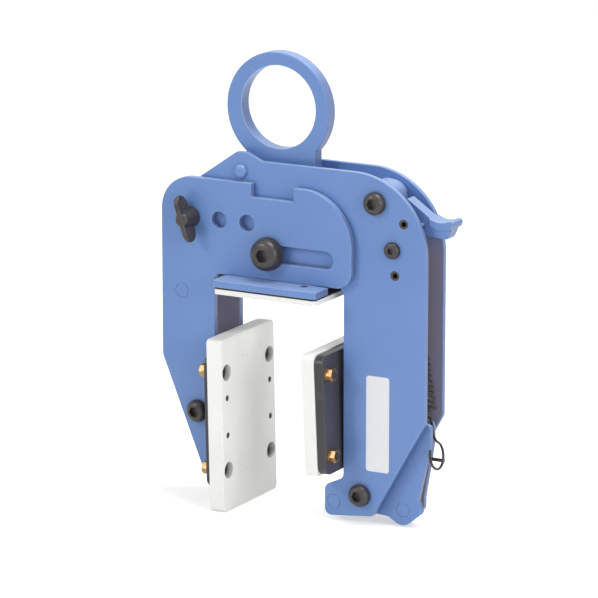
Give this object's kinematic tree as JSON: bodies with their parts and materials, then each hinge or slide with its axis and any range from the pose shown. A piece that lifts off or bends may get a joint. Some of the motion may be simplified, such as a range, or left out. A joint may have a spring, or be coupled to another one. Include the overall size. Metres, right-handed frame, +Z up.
{
  "type": "panel lifting clamp",
  "caption": "Panel lifting clamp: lifting eye above twin body plates, a sliding arm with a fixed pad, and a linkage that swings the other pad in as the eye rises.",
  "frame": {"origin": "centre of the lifting eye's hole, on the mid plane between the body plates", "axes": "+Z up along the lift, +X from the fixed pad towards the swinging pad, +Y along the eye's hole, away from the front"},
  "size_m": [0.2649, 0.094, 0.3889],
  "materials": {
    "blue_paint": "satin enamel with worn edges",
    "black_paint": "semi-gloss black",
    "black_oxide": "oiled black oxide",
    "bright_steel": "machined",
    "yellow_zinc": "yellow passivated zinc",
    "white_pad": "matte moulded pad",
    "black_rubber": "matte",
    "white_label": "smooth sticker",
    "spring_steel": "oiled spring wire"
  },
  "bodies": {
    "main_body": {"body_plate_front": "blue_paint", "body_plate_rear": "blue_paint", "eye_guide_pins": "blue_paint", "body_stays": "blue_paint", "pivot_bolts": "black_oxide", "pivot_nuts": "black_oxide", "stay_bolt": "black_oxide", "stay_nut": "black_oxide", "guide_bolt": "black_oxide", "guide_washers": "black_oxide", "guide_nut": "black_oxide", "lock_pivot_pin": "black_oxide", "spring_anchor_pin": "black_oxide", "pivot_sleeves": "bright_steel", "stay_sleeve": "bright_steel", "guide_sleeve": "bright_steel", "lever_spacers": "bright_steel", "blank_label": "white_label", "tension_spring": "spring_steel", "lock_spring": "spring_steel"},
    "slide_arm": {"arm_plate_front": "blue_paint", "arm_plate_rear": "blue_paint", "arm_stay": "blue_paint", "rest_plate": "blue_paint", "rest_underlay": "black_rubber", "rest_pad": "white_pad", "rest_screws": "black_oxide", "fixed_pivot_bolt": "black_oxide", "fixed_pivot_nut": "black_oxide", "fixed_pivot_sleeve": "bright_steel"},
    "wing_screw": {"wing_bolt": "black_oxide"},
    "fixed_jaw": {"fixed_pad": "white_pad", "fixed_backing": "black_paint", "fixed_bracket": "black_paint", "fixed_pad_bolts": "black_oxide", "fixed_pad_washers": "yellow_zinc", "fixed_pad_nuts": "yellow_zinc"},
    "eye": {"lifting_eye": "blue_paint"},
    "rocker": {"rocker_plate_front": "blue_paint", "rocker_plate_rear": "blue_paint", "rocker_core": "blue_paint", "rocker_pins": "bright_steel", "link_spacers": "bright_steel"},
    "link": {"pull_link": "blue_paint"},
    "jaw_lever": {"jaw_lever_front": "blue_paint", "jaw_lever_rear": "blue_paint", "jaw_lever_pins": "blue_paint", "spring_post": "black_oxide"},
    "swing_jaw": {"jaw_pad": "white_pad", "jaw_backing": "black_paint", "jaw_bracket": "black_paint", "jaw_pad_bolts": "black_oxide", "jaw_pad_washers": "yellow_zinc", "jaw_pad_nuts": "yellow_zinc"},
    "lock": {"lock_lever": "blue_paint"}
  },
  "joints": [
    {"name": "arm_slide", "type": "slide", "parent": "main_body", "child": "slide_arm", "axis": [-1, 0, 0], "range_m": [0, 0.053]},
    {"name": "wing_turn", "type": "hinge", "parent": "slide_arm", "child": "wing_screw", "pos_m": [-0.073, -0.034, -0.0965], "axis": [0, 1, 0], "continuous": true},
    {"name": "fixed_pad_swivel", "type": "hinge", "parent": "slide_arm", "child": "fixed_jaw", "pos_m": [-0.0675, 0, -0.263], "axis": [0, 1, 0], "range_deg": [-0.5, 2.9]},
    {"name": "jaw_turn", "type": "hinge", "parent": "main_body", "child": "jaw_lever", "pos_m": [0.0843, 0, -0.3175], "axis": [0, -1, 0], "range_deg": [0, 17], "deforming": ["tension_spring"]},
    {"name": "eye_lift", "type": "slide", "parent": "main_body", "child": "eye", "axis": [0, 0, 1], "range_m": [0, 0.02964]},
    {"name": "rocker_turn", "type": "hinge", "parent": "main_body", "child": "rocker", "pos_m": [0.0973, 0, -0.0686], "axis": [0, 1, 0], "range_deg": [0, 22]},
    {"name": "link_swing", "type": "hinge", "parent": "jaw_lever", "child": "link", "pos_m": [0.1189, 0, -0.328], "axis": [0, 1, 0], "range_deg": [0, 16.6]},
    {"name": "jaw_pad_swing", "type": "hinge", "parent": "jaw_lever", "child": "swing_jaw", "pos_m": [0.08, 0, -0.2465], "axis": [0, 1, 0], "range_deg": [0, 19.6]},
    {"name": "lock_turn", "type": "hinge", "parent": "main_body", "child": "lock", "pos_m": [0.123, 0, -0.0836], "axis": [0, 1, 0], "range_deg": [0, 12], "stiffness_Nm_per_rad": 0.3, "springref_deg": -28.65, "deforming": ["lock_spring"]}
  ],
  "couplings": [
    {"joint": "eye_lift", "follows": "jaw_turn", "m_per_rad": 0.099889},
    {"joint": "rocker_turn", "follows": "jaw_turn", "ratio": 1.2941},
    {"joint": "link_swing", "follows": "jaw_turn", "ratio": 0.97118},
    {"joint": "jaw_pad_swing", "follows": "jaw_turn", "ratio": 1.1471}
  ]
}
